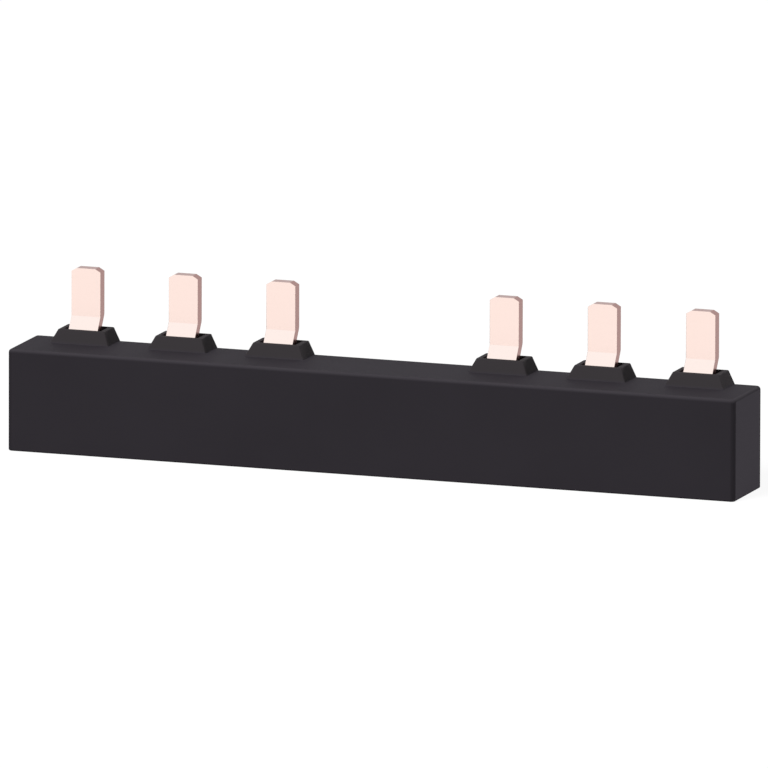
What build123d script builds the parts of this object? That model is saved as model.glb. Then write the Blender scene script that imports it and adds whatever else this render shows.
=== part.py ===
"""Three-pole comb busbar with two taps, for a row of motor starters on a 75 mm spacing.

A black moulded bar, open underneath, holds three stamped copper combs side by side, one for each
phase. Each comb has two teeth, one tap apart. Inside the bar the teeth are cranked over the other
rails into one lane, and they leave through tapered collars as a row of blades, with a second crank
just above each collar. Insulating strips stand between the rails, and a base cover closes the bar.

Millimetres. X runs along the bar, Y from its front to its back, Z up the blades. The origin is on
the underside, below the middle of the bar.
"""
import math
import os

from build123d import *

# Poles and taps
POLE_PITCH = 17.5  # from one blade to the next in a tap
TAP_PITCH = 75.0  # from one tap to the next
POLES = 3
TAPS = 2

# Moulded bar
END_OVERHANG = 10.0  # from the last blade's middle to the end of the bar
BAR_DEPTH = 14.0
BAR_HEIGHT = 17.5
SIDE_WALL = 1.5
END_WALL = 2.0
ROOF = 1.5
CORNER_RADIUS = 0.8  # upright corners
TOP_EDGE_RADIUS = 0.6
BASE_EDGE_RADIUS = 0.3
INSIDE_RADIUS = 0.8

# Tapered collars, measured on the blade's middle and on the bar's back
COLLAR_HEIGHT = 2.25
COLLAR_TOP_WIDTH = 8.3
COLLAR_SIDE_TAPER = 1.1  # how far each side leans out from top to foot
COLLAR_FRONT_TAPER = 1.1
COLLAR_FRONT_RIM = 0.6  # between the mouth and the front of the collar, at the top
COLLAR_CORNER_RADIUS = 0.3
COLLAR_TOP_RADIUS = 0.2
MOUTH_SIDE_GAP = 0.7  # beside the blade
MOUTH_FRONT_GAP = 0.2
MOUTH_BACK_GAP = 0.1  # behind the blade above its crank, which passes through at assembly

# Copper combs
SHEET = 2.0
BLADE_WIDTH = 5.2
BLADE_REACH = 10.25  # from the top of a collar to the tip
BLADE_SETBACK = 0.7  # from the bar's back to a blade's back face
BLADE_CRANK_RISE = 2.05  # from the top of a collar to the upper corner on a blade's front face
BLADE_CRANK_OFFSET = 1.6
BLADE_CRANK_ANGLE = 32.5  # from upright
BLADE_CRANK_SHEET = 1.6  # the press thins the sheet here
BLADE_CRANK_RADII = (0.3, 1.2)  # inside and outside of the bend
TIP_BEVEL_WIDTH = 0.95
TIP_BEVEL_HEIGHT = 0.55
RAIL_END = 2.5  # how far a rail runs past its last tooth
RAIL_CORNER_RADIUS = 0.5
TOOTH_ROOT_RADIUS = 1.5
TOOTH_STEM = 0.6  # straight part between a rail and the lowest crank, on the back face
LANE_CRANK_ANGLE = 63.0
LANE_CRANK_ROOM = 0.6  # from the roof down to the upper corner on a tooth's front face
LANE_CRANK_RADII = (0.8, 2.8)

# Insulating strips between the rails
SEPARATOR_RAIL_GAP = 0.2
SEPARATOR_GROOVE_DEPTH = 0.6
SEPARATOR_SIDE_GAP = 0.1
SEPARATOR_TOP_GAP = 0.2
SEPARATOR_END = 1.5  # how far a strip runs past the rails' ends, within the bar
NOTCH_SIDE_GAP = 0.6
NOTCH_FOOT_GAP = 0.4

# Cross webs inside the bar
WEB_SHEET = 1.2
WEB_RAIL_SIDE_GAP = 0.15
WEB_RAIL_TOP_GAP = 0.2

# Base cover and its snaps
COVER_SHEET = 1.8
COVER_LEDGE = 0.5  # width of the step that the cover seats against
COVER_GAP = 0.1
SNAPS = 5
SNAP_LENGTH = 8.0
SNAP_PITCH = 25.0
SNAP_HEIGHT = 0.8
SNAP_DEPTH = 0.35
SNAP_GAP = 0.1

# Places that follow
BAR_LENGTH = TAP_PITCH * (TAPS - 1) + POLE_PITCH * (POLES - 1) + 2 * END_OVERHANG
TAP_PLACES = [TAP_PITCH * (k - (TAPS - 1) / 2) for k in range(TAPS)]
POLE_OFFSETS = [POLE_PITCH * (k - (POLES - 1) / 2) for k in range(POLES)]
BLADE_PLACES = [tap + pole for tap in TAP_PLACES for pole in POLE_OFFSETS]
CAVITY_LENGTH = BAR_LENGTH - 2 * END_WALL
CAVITY_DEPTH = BAR_DEPTH - 2 * SIDE_WALL
CAVITY_TOP = BAR_HEIGHT - ROOF
COLLAR_TOP = BAR_HEIGHT + COLLAR_HEIGHT
BAR_BACK = BAR_DEPTH / 2
BLADE_FRONT = BAR_BACK - BLADE_SETBACK - SHEET
BLADE_TIP = COLLAR_TOP + BLADE_REACH
BLADE_CRANK_TOP = COLLAR_TOP + BLADE_CRANK_RISE
LANE_FRONT = BLADE_FRONT - BLADE_CRANK_OFFSET
FIRST_RAIL_FRONT = -(LANE_FRONT + SHEET)  # as far from the front wall as the last rail is from the back
RAIL_PITCH = (LANE_FRONT - FIRST_RAIL_FRONT) / (POLES - 1)
RAIL_FRONTS = [LANE_FRONT - RAIL_PITCH * (POLES - 1 - k) for k in range(POLES)]
LANE_CRANK_TOP = CAVITY_TOP - LANE_CRANK_ROOM
LANE_CRANK_SLOPE = math.tan(math.radians(LANE_CRANK_ANGLE))
LANE_CRANK_DROP = SHEET * (1 / math.cos(math.radians(LANE_CRANK_ANGLE)) - 1) / LANE_CRANK_SLOPE
LANE_CRANK_FOOT = LANE_CRANK_TOP - (LANE_FRONT - FIRST_RAIL_FRONT) / LANE_CRANK_SLOPE - LANE_CRANK_DROP
RAIL_TOP = LANE_CRANK_FOOT - TOOTH_STEM
MOUTH_WIDTH = BLADE_WIDTH + 2 * MOUTH_SIDE_GAP
MOUTH_FRONT = LANE_FRONT - MOUTH_FRONT_GAP
MOUTH_BACK = BLADE_FRONT + SHEET + MOUTH_BACK_GAP
SEPARATOR_FOOT = COVER_SHEET - SEPARATOR_GROOVE_DEPTH
SEPARATOR_TOP = CAVITY_TOP - SEPARATOR_TOP_GAP
SEPARATOR_SHEET = RAIL_PITCH - SHEET - 2 * SEPARATOR_RAIL_GAP
SEPARATOR_FRONTS = [front + SHEET + SEPARATOR_RAIL_GAP for front in RAIL_FRONTS[:-1]]
SEPARATOR_LENGTH = BAR_LENGTH - 2 * END_OVERHANG + BLADE_WIDTH + 2 * (RAIL_END + SEPARATOR_END)
SNAP_PLACES = [SNAP_PITCH * (k - (SNAPS - 1) / 2) for k in range(SNAPS)]


def block(x_size, y_low, y_high, z_low, z_high, x_middle=0.0):
    """A box centred on x_middle, between two places in Y and two heights."""
    middle = (x_middle, (y_low + y_high) / 2, (z_low + z_high) / 2)
    return Pos(*middle) * Box(x_size, y_high - y_low, z_high - z_low)


def tray(length, depth, z_low, z_high, radius):
    """An upright block with rounded corners, centred on the bar."""
    outline = RectangleRounded(length, depth, radius)
    return Pos(0, 0, z_low) * extrude(outline, z_high - z_low)


def mirrored(item):
    """The item and its mirror image across the bar's middle plane, front to back."""
    return [item, mirror(item, Plane.XZ)]


def bar_shell():
    """The outside of the moulding, with soft upper and upright edges and a sharper foot."""
    shell = tray(BAR_LENGTH, BAR_DEPTH, 0, BAR_HEIGHT, CORNER_RADIUS)
    shell = fillet(shell.faces().sort_by(Axis.Z)[-1].edges(), TOP_EDGE_RADIUS)
    return fillet(shell.faces().sort_by(Axis.Z)[0].edges(), BASE_EDGE_RADIUS)


def collar(x_middle):
    """One tapered collar. Its back is upright and flush with the back of the bar."""
    top_front = MOUTH_FRONT - COLLAR_FRONT_RIM
    foot_front = top_front - COLLAR_FRONT_TAPER
    foot_width = COLLAR_TOP_WIDTH + 2 * COLLAR_SIDE_TAPER

    def section(width, front, height):
        outline = Rectangle(width, BAR_BACK - front)
        return Pos(x_middle, (BAR_BACK + front) / 2, height) * outline

    foot = section(foot_width, foot_front, BAR_HEIGHT)
    body = loft([foot, section(COLLAR_TOP_WIDTH, top_front, COLLAR_TOP)])
    corners = body.edges().filter_by(lambda edge: edge.bounding_box().size.Z > COLLAR_HEIGHT / 2)
    body = fillet(corners, COLLAR_CORNER_RADIUS)
    body = fillet(body.faces().sort_by(Axis.Z)[-1].edges(), COLLAR_TOP_RADIUS)
    stem = extrude(body.faces().sort_by(Axis.Z)[0], TOP_EDGE_RADIUS)
    return body + stem


def cross_web(x_middle):
    """A wall across the cavity with one opening for the rails and a slot for each separator."""
    half = CAVITY_DEPTH / 2
    web = block(WEB_SHEET, -half, half, COVER_SHEET, CAVITY_TOP, x_middle)
    low = RAIL_FRONTS[0] - WEB_RAIL_SIDE_GAP
    high = RAIL_FRONTS[-1] + SHEET + WEB_RAIL_SIDE_GAP
    web -= block(WEB_SHEET, low, high, COVER_SHEET, RAIL_TOP + WEB_RAIL_TOP_GAP, x_middle)
    for front in SEPARATOR_FRONTS:
        back = front + SEPARATOR_SHEET + SEPARATOR_SIDE_GAP
        web -= block(WEB_SHEET, front - SEPARATOR_SIDE_GAP, back, COVER_SHEET, CAVITY_TOP, x_middle)
    return web


def snap_ridge(x_middle, depth, gap=0.0):
    """A ridge along the back edge of the cover, or with a gap the groove that it snaps into."""
    height = SNAP_HEIGHT + 2 * gap
    edge = BAR_BACK - (SIDE_WALL - COVER_LEDGE) - COVER_GAP
    outline = Polyline((edge, -height / 2), (edge + depth, 0), (edge, height / 2), close=True)
    ridge = extrude(make_face(Plane.YZ * outline), SNAP_LENGTH + 2 * gap)
    return Pos(x_middle - SNAP_LENGTH / 2 - gap, 0, COVER_SHEET / 2) * ridge


def make_housing():
    shell = bar_shell()
    for place in BLADE_PLACES:
        shell += collar(place)
    shell -= tray(CAVITY_LENGTH, CAVITY_DEPTH, 0, CAVITY_TOP, INSIDE_RADIUS)
    rebate_length = CAVITY_LENGTH + 2 * COVER_LEDGE
    shell -= tray(rebate_length, CAVITY_DEPTH + 2 * COVER_LEDGE, 0, COVER_SHEET, INSIDE_RADIUS)
    for place in web_places():
        shell += cross_web(place)
    for place in BLADE_PLACES:
        shell -= block(MOUTH_WIDTH, MOUTH_FRONT, MOUTH_BACK, RAIL_TOP, COLLAR_TOP, place)
    for place in SNAP_PLACES:
        for groove in mirrored(snap_ridge(place, SNAP_DEPTH + SNAP_GAP, SNAP_GAP)):
            shell -= groove
    return shell


def web_places():
    """Half a pole pitch to each side of every blade, where that lies inside the bar."""
    places = [tap + POLE_PITCH * (k - POLES / 2) for tap in TAP_PLACES for k in range(POLES + 1)]
    limit = CAVITY_LENGTH / 2 - WEB_SHEET
    return [place for place in places if abs(place) < limit]


def make_cover():
    """The strip that closes the bar, with grooves for the separators and snaps along both edges."""
    length = CAVITY_LENGTH + 2 * (COVER_LEDGE - COVER_GAP)
    depth = CAVITY_DEPTH + 2 * (COVER_LEDGE - COVER_GAP)
    cover = tray(length, depth, 0, COVER_SHEET, INSIDE_RADIUS)
    for front in SEPARATOR_FRONTS:
        low = front - SEPARATOR_SIDE_GAP
        high = front + SEPARATOR_SHEET + SEPARATOR_SIDE_GAP
        groove_length = SEPARATOR_LENGTH + 2 * SEPARATOR_SIDE_GAP
        cover -= block(groove_length, low, high, SEPARATOR_FOOT, COVER_SHEET)
    for place in SNAP_PLACES:
        for ridge in mirrored(snap_ridge(place, SNAP_DEPTH)):
            cover += ridge
    return cover


def crank(low_front, high_front, top, angle, sheet):
    """Corners of a crank, first along its front face and then along its back face, going up.

    The front face steps back from low_front to high_front, and its upper corner is at height top.
    The sheet is this thick between the bends, and SHEET above and below them.
    """
    slope = math.tan(math.radians(angle))
    low = top - (high_front - low_front) / slope
    lift = (SHEET - sheet / math.cos(math.radians(angle))) / slope
    front = [(low_front, low), (high_front, top)]
    back = [(low_front + SHEET, low + lift), (high_front + SHEET, top + lift)]
    return front, back


def lane_crank(rail_front):
    """The crank that brings a tooth from its rail into the lane below the collars."""
    return crank(rail_front, LANE_FRONT, LANE_CRANK_TOP, LANE_CRANK_ANGLE, SHEET)


def side_profile(rail_front):
    """A comb seen from its end: the rail, the tooth that rises from it, and the blade."""
    front_line = [(rail_front, COVER_SHEET)]
    back_line = [(rail_front + SHEET, COVER_SHEET)]
    front_radii = []
    back_radii = []
    if rail_front < LANE_FRONT:
        front, back = lane_crank(rail_front)
        front_line += front
        back_line += back
        inner, outer = LANE_CRANK_RADII
        front_radii += [outer, inner]
        back_radii += [inner, outer]
    front, back = crank(LANE_FRONT, BLADE_FRONT, BLADE_CRANK_TOP, BLADE_CRANK_ANGLE, BLADE_CRANK_SHEET)
    front_line += front + [(BLADE_FRONT, BLADE_TIP)]
    back_line += back + [(BLADE_FRONT + SHEET, BLADE_TIP)]
    inner, outer = BLADE_CRANK_RADII
    front_radii += [outer, inner]
    back_radii += [inner, outer]
    front_edge = FilletPolyline(*front_line, radius=front_radii)
    back_edge = FilletPolyline(*back_line, radius=back_radii)
    foot = Line(front_line[0], back_line[0])
    tip = Line(front_line[-1], back_line[-1])
    return make_face(Plane.YZ * Curve([front_edge, back_edge, foot, tip]))


def front_outline(pole):
    """A comb seen from the front, as it is stamped: a rail with a tooth for each tap."""
    teeth = [tap + POLE_OFFSETS[pole] for tap in TAP_PLACES]
    half = BLADE_WIDTH / 2
    left = teeth[0] - half - RAIL_END
    right = teeth[-1] + half + RAIL_END
    middle = ((left + right) / 2, (COVER_SHEET + RAIL_TOP) / 2)
    rail = Pos(*middle) * Rectangle(right - left, RAIL_TOP - COVER_SHEET)
    outline = fillet(rail.vertices(), RAIL_CORNER_RADIUS)
    for place in teeth:
        tooth_height = BLADE_TIP - COVER_SHEET - RAIL_CORNER_RADIUS
        tooth = Rectangle(BLADE_WIDTH, tooth_height, align=(Align.CENTER, Align.MAX))
        tooth = Pos(place, BLADE_TIP) * chamfered_tip(tooth)
        outline += tooth
    roots = [corner for corner in outline.vertices()
             if abs(corner.Y - RAIL_TOP) < 0.01 and min(abs(abs(corner.X - x) - half) for x in teeth) < 0.01]
    outline = fillet(roots, TOOTH_ROOT_RADIUS)
    return Plane.XZ * outline


def chamfered_tip(tooth):
    """Bevels the two upper corners of a tooth."""
    for corner in tooth.vertices().sort_by(Axis.Y)[-2:]:
        side = 1 if corner.X > 0 else -1
        bevel = Polyline((corner.X, corner.Y), (corner.X - side * TIP_BEVEL_WIDTH, corner.Y),
                         (corner.X, corner.Y - TIP_BEVEL_HEIGHT), close=True)
        tooth -= make_face(bevel)
    return tooth


def make_rail(pole):
    """A comb is its front outline, kept only where its side profile passes."""
    profile = side_profile(RAIL_FRONTS[pole])
    along = Pos(-BAR_LENGTH / 2, 0, 0) * extrude(profile, BAR_LENGTH, dir=(1, 0, 0))
    across = extrude(front_outline(pole), BAR_DEPTH, dir=(0, 1, 0), both=True)
    return along & across


def make_separator(gap):
    """The strip in one gap between rails, notched where teeth from the rails in front cross it."""
    front = SEPARATOR_FRONTS[gap]
    strip = block(SEPARATOR_LENGTH, front, front + SEPARATOR_SHEET, SEPARATOR_FOOT, SEPARATOR_TOP)
    back_low, back_high = lane_crank(RAIL_FRONTS[0])[1]
    rise = (back_high[1] - back_low[1]) / (back_high[0] - back_low[0])
    notch_foot = back_low[1] + rise * (front - back_low[0]) - NOTCH_FOOT_GAP
    for pole in range(gap + 1):
        for tap in TAP_PLACES:
            place = tap + POLE_OFFSETS[pole]
            strip -= block(BLADE_WIDTH + 2 * NOTCH_SIDE_GAP, front, front + SEPARATOR_SHEET,
                           notch_foot, SEPARATOR_TOP, place)
    return strip


parts = {
    "housing": make_housing(),
    "base_cover": make_cover(),
    "phase_separator_front": make_separator(0),
    "phase_separator_rear": make_separator(1),
}
for pole in range(POLES):
    parts[f"rail_l{pole + 1}"] = make_rail(pole)

os.makedirs("parts", exist_ok=True)
for name, solid in parts.items():
    solid.label = name
    export_step(solid, f"parts/{name}.step")
    print(name, len(solid.solids()), round(solid.volume, 1), solid.bounding_box())
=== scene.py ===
"""Looks, light and camera for the comb busbar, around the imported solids."""
import math

import bpy
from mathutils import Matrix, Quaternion, Vector


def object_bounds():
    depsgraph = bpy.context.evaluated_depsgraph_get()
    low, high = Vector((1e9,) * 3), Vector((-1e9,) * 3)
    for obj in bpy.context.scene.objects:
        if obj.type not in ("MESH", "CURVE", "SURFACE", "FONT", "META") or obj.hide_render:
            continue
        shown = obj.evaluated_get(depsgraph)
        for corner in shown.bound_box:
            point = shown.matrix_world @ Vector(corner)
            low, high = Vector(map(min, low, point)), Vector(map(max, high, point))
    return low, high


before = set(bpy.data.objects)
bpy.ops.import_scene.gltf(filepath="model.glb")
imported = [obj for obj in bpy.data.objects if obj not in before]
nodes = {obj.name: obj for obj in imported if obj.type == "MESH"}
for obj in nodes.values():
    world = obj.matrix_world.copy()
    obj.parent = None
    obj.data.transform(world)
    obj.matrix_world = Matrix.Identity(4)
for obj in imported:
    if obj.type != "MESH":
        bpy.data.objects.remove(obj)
cad_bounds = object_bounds()

MM = 0.001

# Camera: the photograph's direction, through the longest lens with which the other views still
# reach the object, so that there is hardly any perspective
CAMERA_AZIMUTH = math.radians(19.548)
CAMERA_ELEVATION = math.radians(10.940)
CAMERA_ROLL = math.radians(0.168)
CAMERA_LENS = 1700.0
SENSOR_WIDTH = 36.0
VIEW_WIDTH = 129.463 * MM
AIM_RIGHT = 0.055 * MM  # from the middle of the object
AIM_DOWN = 0.391 * MM
CLIP_START = 0.1

# Lamps: direction, level and width in degrees. A lamp's level is the brightness of a white card
# that faces it, and the fill's is that of a card which only the surroundings light
LAMPS = {
    "key": ((-0.30, -0.67, 0.68), 1.12, 24.0),
    "side": ((0.99, 0.0, 0.06), 0.34, 5.0),
    "back": ((0.25, 0.93, 0.27), 0.30, 20.0),
}
LAMP_DISTANCE = 3.0
FILL_LEVEL = 0.10

# Floor
FLOOR_SIZE = 12.0
FLOOR_GAP = 0.05 * MM  # keeps the floor out of the underside's own plane
FLOOR_PAINT = 0.2  # for the light that it throws on things
FLOOR_GLOW = 0.92  # where it is seen, with the wash for its shadow
FLOOR_WASH = 0.12

# Moulding
COLLAR_FOOT = 17.5 * MM
COLLAR_FADE = 0.4 * MM
MOULDED_COLOURS = ((0.0312, 0.0278, 0.0334), (0.0336, 0.0299, 0.0359))
# painted shade on the upright corners
CORNER_SHADE_COLOUR = (0.0256, 0.0228, 0.0273)
# painted highlight along the bar's upper edges
EDGE_HIGHLIGHT_COLOUR = (0.0510, 0.0460, 0.0535)
# painted light on the collars, paler and warmer
COLLAR_LIGHT_COLOUR = (0.0400, 0.0358, 0.0388)
# painted light on the end faces
END_LIGHT_COLOUR = (0.0625, 0.0560, 0.0670)
MOULDED_SPREAD = 0.04  # of the roughness, each way
MOULDED_SPECULAR = 0.02

# Copper
ROLLED_COLOURS = ((0.966, 0.770, 0.704), (0.982, 0.786, 0.719))
# painted highlight on the bends
BEND_HIGHLIGHT_COLOUR = (1.0, 0.860, 0.808)
# sheared faces: rougher, as real; their darker colour is painted shade
SHEARED_SHADE_COLOURS = ((0.318, 0.156, 0.139), (0.352, 0.175, 0.155))
ROLLED_ROUGHNESS = (0.15, 0.21)
SHEARED_ROUGHNESS = (0.23, 0.29)

# Separators
STRIP_GREYS = (0.28, 0.32)
STRIP_ROUGHNESS = (0.55, 0.65)

# Where the parts of a normal, from 0 to 1, put one colour over another: painted shade on the
# upright corners and the sheared copper, painted light on the upper edges, ends and copper bends
ON_SHADED_CORNERS = [(0.05, 0.0), (0.2, 1.0), (0.7, 1.0), (0.9, 0.0)]
ON_EDGE_HIGHLIGHTS = [(0.05, 0.0), (0.75, 0.9), (0.985, 1.0), (0.999, 0.0)]
ON_LIT_ENDS = [(0.96, 0.0), (0.995, 1.0)]
ON_CUT_SIDES = [(0.2, 1.0), (0.4, 0.0)]
ON_BEND_HIGHLIGHTS = [(0.25, 0.0), (0.5, 1.0)]

BEVEL_SAMPLES = 6
CREASE = math.radians(24.0)  # edges that turn less than this are shaded smooth
WHITE = (1.0, 1.0, 1.0, 1.0)


def new_material(name):
    """A node material with its Principled shader."""
    material = bpy.data.materials.new(name)
    material.use_nodes = True
    tree = material.node_tree
    return material, tree, tree.nodes["Principled BSDF"]


def add_node(tree, kind, **values):
    """A node of this kind, with properties set by name and inputs by their socket's name."""
    node = tree.nodes.new(kind)
    for name, value in values.items():
        if hasattr(node, name):
            setattr(node, name, value)
        else:
            node.inputs[name].default_value = value
    return node


def ramp(tree, source, stops):
    """A ramp from source, with (place, grey or colour) stops."""
    node = tree.nodes.new("ShaderNodeValToRGB")
    elements = node.color_ramp.elements
    for element, (place, value) in zip(elements, (stops[0], stops[-1])):
        element.position = place
    for place, value in stops[1:-1]:
        elements.new(place)
    for element, (place, value) in zip(elements, stops):
        element.position = place
        colour = value if isinstance(value, tuple) else (value, value, value)
        element.color = (*colour, 1.0)
    tree.links.new(source, node.inputs["Fac"])
    return node.outputs["Color"]


def varied(tree, texture, ends):
    """From the first to the second of two greys or colours, over the values that noise takes."""
    return ramp(tree, texture, [(0.3, ends[0]), (0.7, ends[1])])


def noise(tree, scale, detail=2.0, roughness=0.5):
    """Noise in the object's own space. The scale is one number, or one for each axis."""
    place = tree.nodes.new("ShaderNodeTexCoord")
    texture = add_node(tree, "ShaderNodeTexNoise", Detail=detail, Roughness=roughness)
    if isinstance(scale, tuple):
        stretch = tree.nodes.new("ShaderNodeMapping")
        stretch.inputs["Scale"].default_value = scale
        tree.links.new(place.outputs["Object"], stretch.inputs["Vector"])
        tree.links.new(stretch.outputs["Vector"], texture.inputs["Vector"])
        texture.inputs["Scale"].default_value = 1.0
    else:
        tree.links.new(place.outputs["Object"], texture.inputs["Vector"])
        texture.inputs["Scale"].default_value = scale
    return texture.outputs["Fac"]


def maths(tree, operation, first, second=None):
    """A maths node on one or two sockets."""
    node = add_node(tree, "ShaderNodeMath", operation=operation)
    tree.links.new(first, node.inputs[0])
    if second is not None:
        tree.links.new(second, node.inputs[1])
    return node.outputs["Value"]


def mixed(tree, factor, first, second):
    """A mix of two colours, each a socket or a colour."""
    node = add_node(tree, "ShaderNodeMix", data_type="RGBA")
    tree.links.new(factor, node.inputs["Factor"])
    for value, socket in ((first, node.inputs[6]), (second, node.inputs[7])):
        if isinstance(value, tuple):
            socket.default_value = (*value, 1.0)
        else:
            tree.links.new(value, socket)
    return node.outputs[2]


def parts_of(tree, kind):
    """X, Y and Z of the object's own coordinates or normal."""
    place = tree.nodes.new("ShaderNodeTexCoord")
    apart = tree.nodes.new("ShaderNodeSeparateXYZ")
    tree.links.new(place.outputs[kind], apart.inputs["Vector"])
    return [apart.outputs[axis] for axis in "XYZ"]


def above(tree, height, fade):
    """0 below this height and 1 above it, over a short fade."""
    rise = tree.nodes.new("ShaderNodeMapRange")
    rise.inputs["From Min"].default_value = height
    rise.inputs["From Max"].default_value = height + fade
    tree.links.new(parts_of(tree, "Object")[2], rise.inputs["Value"])
    return rise.outputs["Result"]


def bumped(tree, shader, height, strength, distance, edge_radius):
    """Gives the shader a bump, and a normal that turns softly over the sharp edges."""
    bevel = tree.nodes.new("ShaderNodeBevel")
    bevel.samples = BEVEL_SAMPLES
    bevel.inputs["Radius"].default_value = edge_radius
    bump = add_node(tree, "ShaderNodeBump", Strength=strength, Distance=distance)
    tree.links.new(height, bump.inputs["Height"])
    tree.links.new(bevel.outputs["Normal"], bump.inputs["Normal"])
    tree.links.new(bump.outputs["Normal"], shader.inputs["Normal"])


def moulded_black(name, grain_scale, rough):
    """Matte black moulding with the fine even texture of a spark-eroded tool.

    The collars and the end faces are painted paler, as painted light, and the upright corners
    darker, as painted shade. A painted highlight runs along the bar's upper edges.
    """
    material, tree, shader = new_material(name)
    cloud = noise(tree, 60.0)
    grain = noise(tree, grain_scale, 3.0, 0.6)
    across, _, upward = parts_of(tree, "Normal")
    endways = maths(tree, "ABSOLUTE", across)
    body = varied(tree, cloud, MOULDED_COLOURS)
    # painted shade: the upright corners' fillets, darker
    body = mixed(tree, ramp(tree, endways, ON_SHADED_CORNERS), body, CORNER_SHADE_COLOUR)
    # painted highlight: paler along the bar's upper edges
    body = mixed(tree, ramp(tree, upward, ON_EDGE_HIGHLIGHTS), body, EDGE_HIGHLIGHT_COLOUR)
    # painted light: the collars, above their foot, paler and warmer
    body = mixed(tree, above(tree, COLLAR_FOOT, COLLAR_FADE), body, COLLAR_LIGHT_COLOUR)
    # painted light: the end faces, paler
    body = mixed(tree, ramp(tree, endways, ON_LIT_ENDS), body, END_LIGHT_COLOUR)
    tree.links.new(body, shader.inputs["Base Color"])
    roughness = varied(tree, grain, (rough - MOULDED_SPREAD, rough + MOULDED_SPREAD))
    tree.links.new(roughness, shader.inputs["Roughness"])
    shader.inputs["Specular IOR Level"].default_value = MOULDED_SPECULAR
    bumped(tree, shader, grain, 0.12, 0.03 * MM, 0.1 * MM)
    return material


def copper():
    """Bright rolled copper, with a painted highlight on the bends, rougher where the sheet was
    sheared, and painted darker there as shade.
    """
    material, tree, shader = new_material("copper")
    _, across, upward = parts_of(tree, "Normal")
    sheared = ramp(tree, maths(tree, "ABSOLUTE", across), ON_CUT_SIDES)
    # painted highlight: the bends' tilted faces
    bend_highlight = ramp(tree, maths(tree, "ABSOLUTE", upward), ON_BEND_HIGHLIGHTS)

    rolling = noise(tree, (60.0, 60.0, 7000.0), 3.0)
    streaks = noise(tree, (5000.0, 120.0, 5000.0), 3.0)
    broad = mixed(tree, bend_highlight, varied(tree, rolling, ROLLED_COLOURS), BEND_HIGHLIGHT_COLOUR)
    # painted shade: the sheared faces' darker colour
    colour = mixed(tree, sheared, broad, varied(tree, streaks, SHEARED_SHADE_COLOURS))
    tree.links.new(colour, shader.inputs["Base Color"])

    rolled_rough = varied(tree, rolling, ROLLED_ROUGHNESS)
    sheared_rough = varied(tree, streaks, SHEARED_ROUGHNESS)
    tree.links.new(mixed(tree, sheared, rolled_rough, sheared_rough), shader.inputs["Roughness"])
    shader.inputs["Metallic"].default_value = 1.0
    height = mixed(tree, sheared, rolling, streaks)
    bumped(tree, shader, height, 0.03, 0.02 * MM, 0.12 * MM)
    return material


def separator_grey():
    """Plain grey insulating strip with a faint fibre."""
    material, tree, shader = new_material("separator_grey")
    fibre = noise(tree, (150.0, 900.0, 900.0), 4.0)
    tree.links.new(varied(tree, fibre, STRIP_GREYS), shader.inputs["Base Color"])
    tree.links.new(varied(tree, fibre, STRIP_ROUGHNESS), shader.inputs["Roughness"])
    return material


def dress(names, material):
    """Gives CAD nodes one material and smooth shading up to a crease."""
    for name in names:
        mesh = nodes[name].data
        mesh.materials.clear()
        mesh.materials.append(material)
        mesh.shade_smooth()
        mesh.set_sharp_from_angle(angle=CREASE)


def seen_or_lit(tree, seen, lit, surface):
    """One shader where a camera, mirror or glass sees the surface, and one as light on things."""
    path = tree.nodes.new("ShaderNodeLightPath")
    either = maths(tree, "MAXIMUM", path.outputs["Is Camera Ray"], path.outputs["Is Glossy Ray"])
    choice = tree.nodes.new("ShaderNodeMixShader")
    through = path.outputs["Is Transmission Ray"]
    tree.links.new(maths(tree, "MAXIMUM", either, through), choice.inputs["Fac"])
    tree.links.new(lit, choice.inputs[1])
    tree.links.new(seen, choice.inputs[2])
    tree.links.new(choice.outputs["Shader"], surface)


def make_world():
    """White to the camera and in reflections, and a softer fill as light."""
    world = bpy.data.worlds.new("studio")
    bpy.context.scene.world = world
    world.use_nodes = True
    tree = world.node_tree
    fill = tree.nodes["Background"]
    fill.inputs["Color"].default_value = WHITE
    fill.inputs["Strength"].default_value = FILL_LEVEL
    white = add_node(tree, "ShaderNodeBackground", Color=WHITE, Strength=1.0)
    seen_or_lit(tree, white.outputs["Background"], fill.outputs["Background"],
                tree.nodes["World Output"].inputs["Surface"])


def make_floor():
    """A pale floor that reads as white and still takes the object's soft shadow."""
    bpy.ops.mesh.primitive_plane_add(size=FLOOR_SIZE, location=(0.0, 0.0, -FLOOR_GAP))
    floor = bpy.context.object
    floor.name = "floor"
    material, tree, shader = new_material("floor_white")
    tree.nodes.remove(shader)
    paint, wash = [add_node(tree, "ShaderNodeBsdfDiffuse", Color=(grey, grey, grey, 1.0))
                   for grey in (FLOOR_PAINT, FLOOR_WASH)]
    glow = add_node(tree, "ShaderNodeEmission", Strength=FLOOR_GLOW)
    pale = tree.nodes.new("ShaderNodeAddShader")
    tree.links.new(glow.outputs["Emission"], pale.inputs[0])
    tree.links.new(wash.outputs["BSDF"], pale.inputs[1])
    seen_or_lit(tree, pale.outputs["Shader"], paint.outputs["BSDF"],
                tree.nodes["Material Output"].inputs["Surface"])
    floor.data.materials.append(material)


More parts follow.
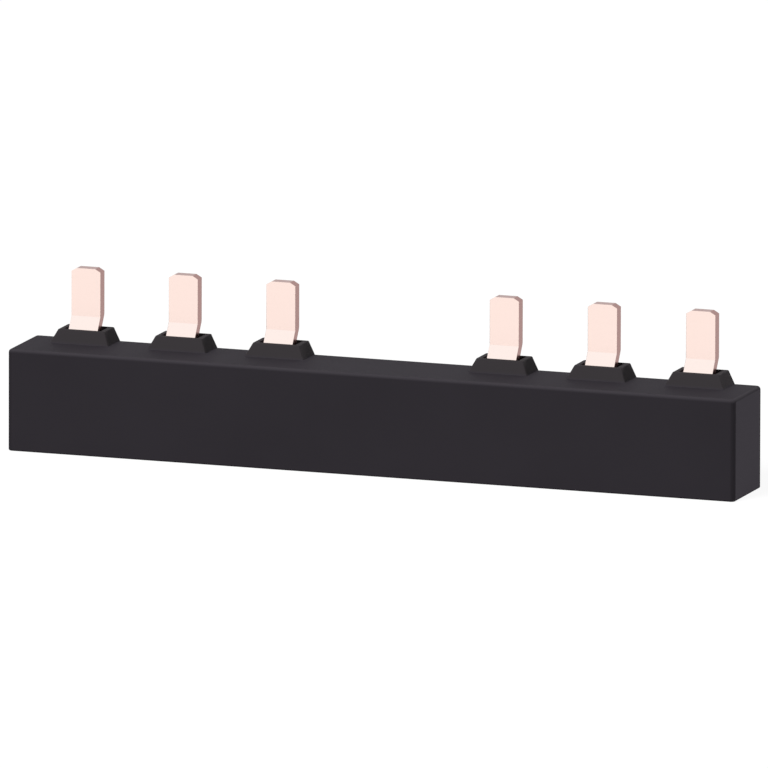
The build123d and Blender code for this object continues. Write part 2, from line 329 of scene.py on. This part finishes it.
def make_lamp(name, direction, level, width):
    """A square soft lamp that neither the camera nor a mirror sees."""
    place = Vector(direction).normalized() * LAMP_DISTANCE
    lamp = bpy.data.lights.new(name, "AREA")
    lamp.size = 2 * LAMP_DISTANCE * math.tan(math.radians(width) / 2)
    lamp.energy = level * (math.pi * LAMP_DISTANCE) ** 2
    holder = bpy.data.objects.new(name, lamp)
    holder.location = place
    holder.rotation_euler = (-place).to_track_quat("-Z", "Y").to_euler()
    holder.visible_camera = False
    holder.visible_glossy = False
    bpy.context.scene.collection.objects.link(holder)


def make_camera():
    """The camera in the photograph's direction, turned by its roll."""
    low, high = cad_bounds
    middle = (low + high) / 2
    azimuth, elevation = CAMERA_AZIMUTH, CAMERA_ELEVATION
    back = Vector((math.sin(azimuth) * math.cos(elevation),
                   -math.cos(azimuth) * math.cos(elevation), math.sin(elevation)))
    right = Vector((math.cos(azimuth), math.sin(azimuth), 0.0))
    up = back.cross(right)
    distance = VIEW_WIDTH * CAMERA_LENS / SENSOR_WIDTH
    camera_data = bpy.data.cameras.new("camera")
    camera_data.lens = CAMERA_LENS
    camera_data.sensor_width = SENSOR_WIDTH
    camera_data.clip_start = CLIP_START
    camera_data.clip_end = 3 * distance
    camera = bpy.data.objects.new("camera", camera_data)
    bpy.context.scene.collection.objects.link(camera)
    aim = middle + right * AIM_RIGHT - up * AIM_DOWN
    camera.location = aim + back * distance
    turn = (-back).to_track_quat("-Z", "Y")
    camera.rotation_mode = "QUATERNION"
    camera.rotation_quaternion = turn @ Quaternion((0.0, 0.0, 1.0), CAMERA_ROLL)
    bpy.context.scene.camera = camera


dress(["housing"], moulded_black("housing_black", 5200.0, 0.66))
dress(["base_cover"], moulded_black("cover_black", 7000.0, 0.60))
dress(["rail_l1", "rail_l2", "rail_l3"], copper())
dress(["phase_separator_front", "phase_separator_rear"], separator_grey())
make_world()
make_floor()
for lamp_name, (lamp_direction, lamp_level, lamp_width) in LAMPS.items():
    make_lamp(lamp_name, lamp_direction, lamp_level, lamp_width)
make_camera()
bpy.context.scene.view_settings.view_transform = "Standard"
